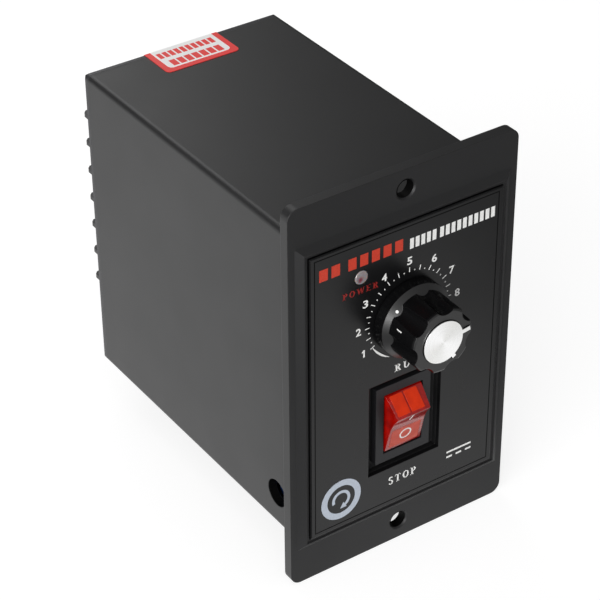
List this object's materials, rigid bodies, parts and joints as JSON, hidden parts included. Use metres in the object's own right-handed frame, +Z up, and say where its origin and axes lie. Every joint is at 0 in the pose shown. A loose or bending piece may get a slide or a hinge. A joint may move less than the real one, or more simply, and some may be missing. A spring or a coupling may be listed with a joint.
{
  "type": "dc motor speed controller",
  "caption": "Panel-mounted DC motor speed controller: flanged plastic case with speed knob, lit rocker switch, indicator lamp and rear terminal strip.",
  "frame": {"origin": "centre of the two-screw pattern, in the plane of the flange's rear face", "axes": "-Y out of the dial towards the user, +Y into the panel, +Z up, +X to the user's right"},
  "size_m": [0.06, 0.1161, 0.1],
  "materials": {
    "case_plastic": "fine sparked texture",
    "plate_plastic": "satin film, printed",
    "black_screw": "black oxide",
    "seal_film": "printed film",
    "knob_plastic": "moulded gloss",
    "brass_part": "machined",
    "spun_aluminium": "spun face",
    "turned_aluminium": "as turned",
    "plated_steel": "nickel plated",
    "phenolic": "laminate",
    "switch_plastic": "satin moulded",
    "red_rocker": "translucent moulded",
    "natural_plastic": "natural nylon",
    "lamp_glass": "clear",
    "led_resin": "milky resin",
    "black_plastic": "moulded",
    "board_laminate": "solder mask",
    "blue_plastic": "moulded",
    "yellow_plastic": "dipped",
    "core_steel": "laminated",
    "winding": "taped winding",
    "cement": "ceramic"
  },
  "bodies": {
    "case": {"housing": "case_plastic", "label_plate": "plate_plastic", "rear_cover": "case_plastic", "cover_screws": "black_screw", "seal_sticker": "seal_film", "pot_bush": "plated_steel", "pot_track": "phenolic", "pot_can": "plated_steel", "pot_washer": "plated_steel", "pot_nut": "plated_steel", "switch_frame": "switch_plastic", "switch_terminals": "plated_steel", "switch_lamp": "lamp_glass", "led": "led_resin", "led_clip": "black_plastic", "led_leads": "plated_steel", "main_board": "board_laminate", "trimmer_body": "blue_plastic", "heat_sink": "turned_aluminium", "power_devices": "black_plastic", "device_screws": "plated_steel", "bridge_rectifier": "black_plastic", "filter_capacitor": "blue_plastic", "film_capacitor": "yellow_plastic", "transformer_core": "core_steel", "transformer_winding": "winding", "power_resistor": "cement", "control_chip": "black_plastic", "fuse": "lamp_glass", "fuse_clips": "plated_steel", "terminal_block": "black_plastic", "terminal_screws": "plated_steel", "terminal_clamps": "plated_steel", "terminal_tails": "brass_part", "strip_screws": "black_screw"},
    "dial": {"knob": "knob_plastic", "knob_insert": "brass_part", "knob_cap": "spun_aluminium", "knob_screw": "black_screw", "pot_shaft": "turned_aluminium", "pot_wiper": "brass_part"},
    "rocker": {"switch_rocker": "red_rocker", "switch_plunger": "natural_plastic"},
    "contact": {"switch_contact": "brass_part"},
    "adjuster": {"trimmer_rotor": "natural_plastic"}
  },
  "joints": [
    {"name": "knob_turn", "type": "hinge", "parent": "case", "child": "dial", "pos_m": [0, 0, 0.0141], "axis": [0, -1, 0], "range_deg": [-70, 230]},
    {"name": "rocker_tilt", "type": "hinge", "parent": "case", "child": "rocker", "pos_m": [0, -0.0009, -0.0144], "axis": [-1, 0, 0], "range_deg": [0, 24]},
    {"name": "contact_tilt", "type": "hinge", "parent": "case", "child": "contact", "pos_m": [0, 0.00445, -0.0144], "axis": [-1, 0, 0], "range_deg": [-12, 0]},
    {"name": "adjuster_turn", "type": "hinge", "parent": "case", "child": "adjuster", "pos_m": [-0.0216, 0.0077, -0.0312], "axis": [1, 0, 0], "range_deg": [-135, 135]}
  ],
  "couplings": [
    {"joint": "contact_tilt", "follows": "rocker_tilt", "ratio": -0.5}
  ]
}
